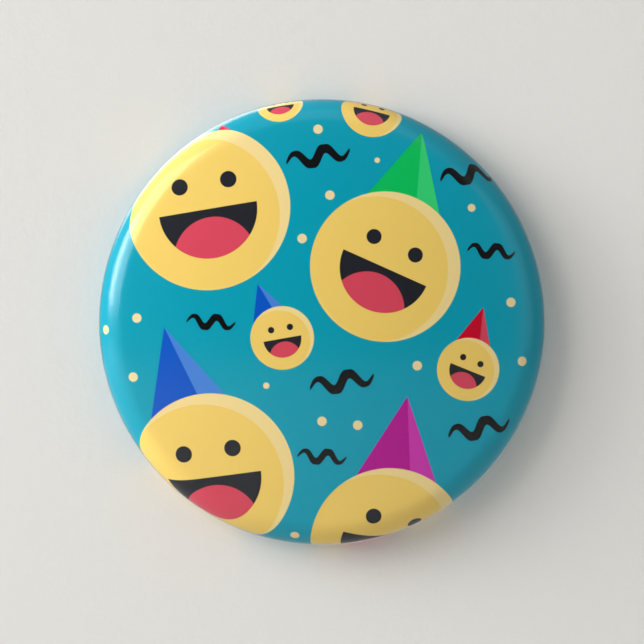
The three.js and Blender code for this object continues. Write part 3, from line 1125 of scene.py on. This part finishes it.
    def openings(self) -> list[bpy.types.Object]:
        """The cutters for the straps' slots, the catch's window and the hole for the wire's tail."""
        s = self.sizes
        slot_x = s.wire_radius + self.strap_clearance + self.shear_gap
        slot_z = self.strap_width / 2 + self.shear_gap
        window_low = self.latched_z - self.catch_reach - 2 * s.wire_radius
        window_high = self.latched_z + s.wire_radius + self.catch_clearance
        window_x = s.catch_width / 2 + self.shear_gap
        window_z = (window_high - window_low) / 2 + self.shear_gap
        hole = s.wire_radius + self.tail_clearance
        power = self.slot_power
        return [
            *(
                self.opening(f"slot_{k}", s.axle[0], (0.5 - k) * s.strap_spacing, slot_x, slot_z, power)
                for k in range(2)
            ),
            self.opening("window", s.catch_x, (window_low + window_high) / 2, window_x, window_z, power),
            self.opening("tail_hole", s.tail_end_x, s.tail_z, hole, hole, 1),
        ]

    def shade(self, mesh: bpy.types.Mesh) -> None:
        """Shades the pressed curves smooth and the sheet inside the bead flat, up to the bent tabs."""
        mesh.shade_smooth()
        mesh.set_sharp_from_angle(angle=self.flat_crease)
        count = len(mesh.polygons)
        normals, middles = np.zeros(3 * count, np.float32), np.zeros(3 * count, np.float32)
        mesh.polygons.foreach_get("normal", normals)
        mesh.polygons.foreach_get("center", middles)
        middles = middles.reshape(-1, 3)
        level = np.abs(normals.reshape(-1, 3)[:, 1]) > self.flat_level
        inside = np.hypot(middles[:, 0], middles[:, 2]) < self.flat_radius
        mesh.polygons.foreach_set("use_smooth", ~(level & inside))

    def build(self, finish: bpy.types.Material) -> bpy.types.Object:
        """The plate, dressed and placed on the badge."""
        piece = self.disc()
        for cutter in self.openings():
            combine(piece, cutter, "DIFFERENCE")
        for band in (self.strap(0), self.strap(1), self.catch()):
            combine(piece, band, "UNION")
        weld(piece.data)
        self.shade(piece.data)
        piece.data.materials.clear()
        piece.data.materials.append(finish)
        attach(piece, "badge")
        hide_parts("back_plate", "needle_catch")
        return piece


@dataclass
class PinWire:
    """The one spring wire in three stretches: anchored, turning and flexing. The first two meet under the
    upper strap, where the wire turns about its own middle, and the last two at the flexing joint."""

    sizes: BadgeSizes
    sides: int = 28
    step: float = 0.35 * MM
    point_length: float = 3 * MM
    point_blunt: float = 0.06
    bow: float = 0.7 * MM
    tail_bend: float = 0.525 * MM
    joint_gap: float = 0.02 * MM
    tail_plunge: float = 0.3 * MM
    point_power: float = 0.8
    bend_points: int = 15
    upright_points: int = 24
    axle_points: int = 10

    def corner(self, centre: Point, start: Point, end: Point, radius: float) -> np.ndarray:
        """A quarter bend: the centre plus the radius times cosine of one direction plus sine of the other.

        Args:
            centre: the bend's centre.
            start, end: unit directions from the centre to the bend's first and last point.
            radius: the bend's radius.

        Returns:
            The points.
        """
        angle = np.linspace(0, math.pi / 2, self.bend_points)[:, None]
        return np.array(centre) + radius * (np.cos(angle) * np.array(start) + np.sin(angle) * np.array(end))

    @staticmethod
    def upright(x: float, y: float, heights: np.ndarray) -> np.ndarray:
        """A straight path at one X and Y through the given heights."""
        return np.stack([np.full_like(heights, x), np.full_like(heights, y), heights], axis=1)

    def tail_path(self) -> np.ndarray:
        """From under the upper strap down the upright stretch, along the plate, and down into its hole."""
        s, b = self.sizes, self.tail_bend
        x, y, _ = s.axle
        foot_z = s.tail_z + s.wire_bend
        stem = self.upright(x, y, np.linspace(s.strap_spacing / 2, foot_z, self.upright_points))
        elbow = self.corner((x + s.wire_bend, y, foot_z), (-1, 0, 0), (0, 0, -1), s.wire_bend)
        drop = self.corner((s.tail_end_x - b, y - b, s.tail_z), (0, 1, 0), (1, 0, 0), b)
        ends = (y - b - self.tail_plunge, s.tail_end_y)
        plunge = np.array([[s.tail_end_x, end_y, s.tail_z] for end_y in ends])
        return np.vstack([stem, elbow[1:], drop, plunge])

    def axle_path(self) -> np.ndarray:
        """From under the upper strap up to the flexing joint."""
        s = self.sizes
        heights = np.linspace(s.strap_spacing / 2, s.elbow_z - self.joint_gap, self.axle_points)
        return self.upright(s.axle[0], s.axle[1], heights)

    def needle_path(self) -> np.ndarray:
        """From the flexing joint round the elbow and along the needle, whose bow away from the plate is a
        squared sine of the share of its run before the catch."""
        s = self.sizes
        x, y, _ = s.axle
        elbow = self.corner((x + s.wire_bend, y, s.elbow_z), (-1, 0, 0), (0, 0, 1), s.wire_bend)
        start = x + s.wire_bend
        bow_end = s.catch_x - s.catch_width / 2
        along = np.arange(start, s.tip_x, self.step)[1:]
        along = np.append(along, s.tip_x)
        share = np.clip((along - start) / (bow_end - start), 0, 1)
        height = y + self.bow * np.sin(np.pi * share) ** 2
        run = np.stack([along, height, np.full(len(along), s.needle_z)], axis=1)
        return np.vstack([elbow, run])

    def tube(self, name: str, path: np.ndarray, radii: np.ndarray) -> bpy.types.Object:
        """Round wire along a path. The vectors across it are turned from point to point by no more than the
        path turns, so that the drawn lines of the wire don't twist."""
        tangent = directions(path)
        across = np.zeros_like(path)
        across[0] = (0, 1, 0)
        for k in range(1, len(path)):
            carried = across[k - 1] - tangent[k] * (across[k - 1] @ tangent[k])
            across[k] = carried / np.linalg.norm(carried)
        sides = across * radii[:, None]
        tops = np.cross(tangent, across) * radii[:, None]
        return swept(name, path, sides, tops, outline(self.sides, 1, 1))

    def dressed(
        self, piece: bpy.types.Object, finish: bpy.types.Material, body: str, part: str
    ) -> bpy.types.Object:
        """Gives a stretch of wire its finish, the body it rides and the part it stands for."""
        piece.data.materials.append(finish)
        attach(piece, body)
        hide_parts(part)
        return piece

    def build_tail(self, finish: bpy.types.Material) -> bpy.types.Object:
        """The anchored stretch, on the badge."""
        path = self.tail_path()
        piece = self.tube("anchored_wire", path, np.full(len(path), self.sizes.wire_radius))
        return self.dressed(piece, finish, "badge", "pin_tail")

    def build_axle(self, finish: bpy.types.Material) -> bpy.types.Object:
        """The stretch that turns in the upper strap."""
        path = self.axle_path()
        piece = self.tube("axle_wire", path, np.full(len(path), self.sizes.wire_radius))
        return self.dressed(piece, finish, "axle", "pin_axle")

    def build_needle(self, finish: bpy.types.Material) -> bpy.types.Object:
        """The elbow and the needle, ground to a point."""
        s = self.sizes
        path = self.needle_path()
        ground = np.clip((s.tip_x - path[:, 0]) / self.point_length, 0, 1)
        radii = s.wire_radius * np.maximum(np.sin(ground * np.pi / 2) ** self.point_power, self.point_blunt)
        return self.dressed(self.tube("needle_wire", path, radii), finish, "needle", "pin_needle")


# ---------------------------------------------------------------- stage


@dataclass(frozen=True)
class Lamp:
    """A square soft light that looks at the badge: its place and size in metres and its power in watts."""

    name: str
    place: Point
    size: float
    power: float

    def build(self) -> None:
        """Adds the light to the scene."""
        lamp = bpy.data.lights.new(self.name, "AREA")
        lamp.size = self.size
        lamp.energy = self.power
        holder = bpy.data.objects.new(self.name, lamp)
        bpy.context.scene.collection.objects.link(holder)
        holder.location = self.place
        holder.rotation_euler = Vector(self.place).to_track_quat("Z", "Y").to_euler()


LAMPS = (
    Lamp("key", (-0.8, -0.45, 0.42), 0.8, 8.9),
    Lamp("side", (-1.1, -0.25, 0.35), 0.5, 7.1),
    Lamp("fill", (0.85, -0.75, 0.2), 0.9, 0.9),
    Lamp("top", (0.1, -0.6, 1.0), 0.8, 0.8),
    Lamp("back", (-0.45, 0.8, 0.6), 0.7, 4.0),
)


@dataclass
class Stage:
    """The pale sheet behind the badge, the floor far below it, the lights and the camera."""

    sizes: BadgeSizes
    shown_width: float = 82.7 * MM
    lens: float = 120
    sensor: float = 36
    wall_gap: float = 0.15 * MM
    floor_drop: float = 120 * MM
    sheet_reach: float = 1.5
    wall_colour: Colour = paint(232, 230, 226)
    floor_colour: Colour = paint(188, 187, 184)
    paper_roughness: float = 0.85
    tooth_scale: float = 900.0
    tooth_detail: float = 5.0
    tooth_roughness: float = 0.7
    cloud_detail: float = 2.0
    cloud_scale: float = 160.0
    cloud_share: float = 0.6
    paper_relief: float = 0.35
    paper_depth: float = 0.12 * MM
    low_light: Colour = (0.115, 0.115, 0.115, 1.0)
    high_light: Colour = (0.425, 0.425, 0.42, 1.0)
    faced_light: Colour = (0.04, 0.04, 0.04, 1.0)
    faced_gain: float = -6.0
    faced_offset: float = -4.7

    def plane(self, name: str, corners: list[Point], colour: Colour, see_through_back: bool) -> None:
        """A pale sheet with a paper tooth.

        Args:
            name: the object's name.
            corners: the sheet's four corners.
            colour: the sheet's colour.
            see_through_back: whether it is seen only from the side that its face points to.
        """
        mesh = bpy.data.meshes.new(name)
        mesh.from_pydata(corners, [], [(0, 1, 2, 3)])
        sheet = bpy.data.objects.new(name, mesh)
        bpy.context.scene.collection.objects.link(sheet)
        material, tree = Tree.material(name)
        place = tree.node("TexCoord").outputs["Object"]
        tooth = tree.noise(place, self.tooth_scale, self.tooth_detail, self.tooth_roughness)
        cloud = tree.noise(place, self.cloud_scale, self.cloud_detail)
        relief = tree.math("MULTIPLY_ADD", cloud, self.cloud_share, tooth)
        bump = tree.bump(relief, self.paper_relief, self.paper_depth)
        looks = {"Base Color": colour, "Roughness": self.paper_roughness, "Normal": bump}
        shader = tree.node("BsdfPrincipled", looks).outputs[0]
        if see_through_back:
            clear = tree.node("BsdfTransparent").outputs[0]
            behind = tree.node("NewGeometry").outputs["Backfacing"]
            shader = tree.node("MixShader", {0: behind, 1: shader, 2: clear}).outputs[0]
            sheet.visible_shadow = sheet.visible_glossy = sheet.visible_diffuse = False
        tree.finish(shader)
        mesh.materials.append(material)

    def room(self, scene: bpy.types.Scene) -> None:
        """The light of the room: brighter overhead, and dark where the badge's face would mirror it."""
        scene.world = bpy.data.worlds.new("room")
        scene.world.use_nodes = True
        scene.world.node_tree.nodes.clear()
        tree = Tree(scene.world.node_tree)
        axes = tree.node("SeparateXYZ", {0: tree.node("TexCoord").outputs["Generated"]})
        height = tree.math("MULTIPLY_ADD", axes.outputs[2], 0.5, 0.5, clamp=True)
        lit = tree.mix(height, self.low_light, self.high_light)
        faced = tree.math("MULTIPLY_ADD", axes.outputs[1], self.faced_gain, self.faced_offset, clamp=True)
        colour = tree.mix(faced, lit, self.faced_light)
        background = tree.node("Background", {"Color": colour, "Strength": 1.0})
        tree.feed(tree.node("OutputWorld").inputs["Surface"], background.outputs[0])

    def build(self) -> None:
        """Sets up the sheets, lights, room light and camera."""
        wide, gap, low = self.sheet_reach, self.wall_gap, -self.floor_drop
        upright = [(-wide, gap, low), (wide, gap, low), (wide, gap, wide), (-wide, gap, wide)]
        level = [(-wide, -wide, low), (wide, -wide, low), (wide, wide, low), (-wide, wide, low)]
        self.plane("backdrop", upright, self.wall_colour, see_through_back=True)
        self.plane("floor", level, self.floor_colour, see_through_back=False)
        for lamp in LAMPS:
            lamp.build()
        scene = bpy.context.scene
        self.room(scene)
        scene.view_settings.view_transform = "Standard"
        camera = bpy.data.objects.new("camera", bpy.data.cameras.new("camera"))
        scene.collection.objects.link(camera)
        camera.data.lens = self.lens
        camera.data.sensor_width = self.sensor
        widest_y = -self.sizes.rim_radius
        camera.location = (0, widest_y - self.lens * self.shown_width / self.sensor, 0)
        camera.rotation_euler = (math.pi / 2, 0, 0)
        scene.camera = camera


def main() -> None:
    """Builds the stage and the badge in order and reports each piece."""
    logging.basicConfig(level=logging.INFO, format="%(name)s: %(message)s")
    sizes = BadgeSizes.from_frame()
    Stage(sizes).build()
    wear = SurfaceWear()
    tinplate = MetalFinish(
        name="bright tinplate", colour=(0.8, 0.81, 0.82, 1.0), roughness=0.27, grain_scale=1700,
        grain_stretch=(1, 1, 0.03), grain_depth=0.02 * MM, grain_shade=0.82, scratch_depth=0.006 * MM,
    )
    spring_wire = MetalFinish(
        name="spring wire", colour=(0.76, 0.75, 0.72, 1.0), roughness=0.2, grain_scale=5000,
        grain_stretch=(0.05, 1, 1), grain_depth=0.001 * MM, grain_shade=0.92, scratch_depth=0.001 * MM,
    )
    sheet_metal, wire = tinplate.build(wear), spring_wire.build(wear)
    skins = Skins(sizes)
    pin = PinWire(sizes)
    pieces = [
        ClearFilm(skins).build(FilmFinish().build(wear)),
        PrintedDisc(skins).build(),
        FrontShell(skins).build(sheet_metal),
        BackPlate(sizes).build(sheet_metal),
        pin.build_tail(wire),
        pin.build_axle(wire),
        pin.build_needle(wire),
    ]
    for piece in pieces:
        log.info("%s: %d faces", piece.name, len(piece.data.polygons))


if __name__ == "__main__":
    main()
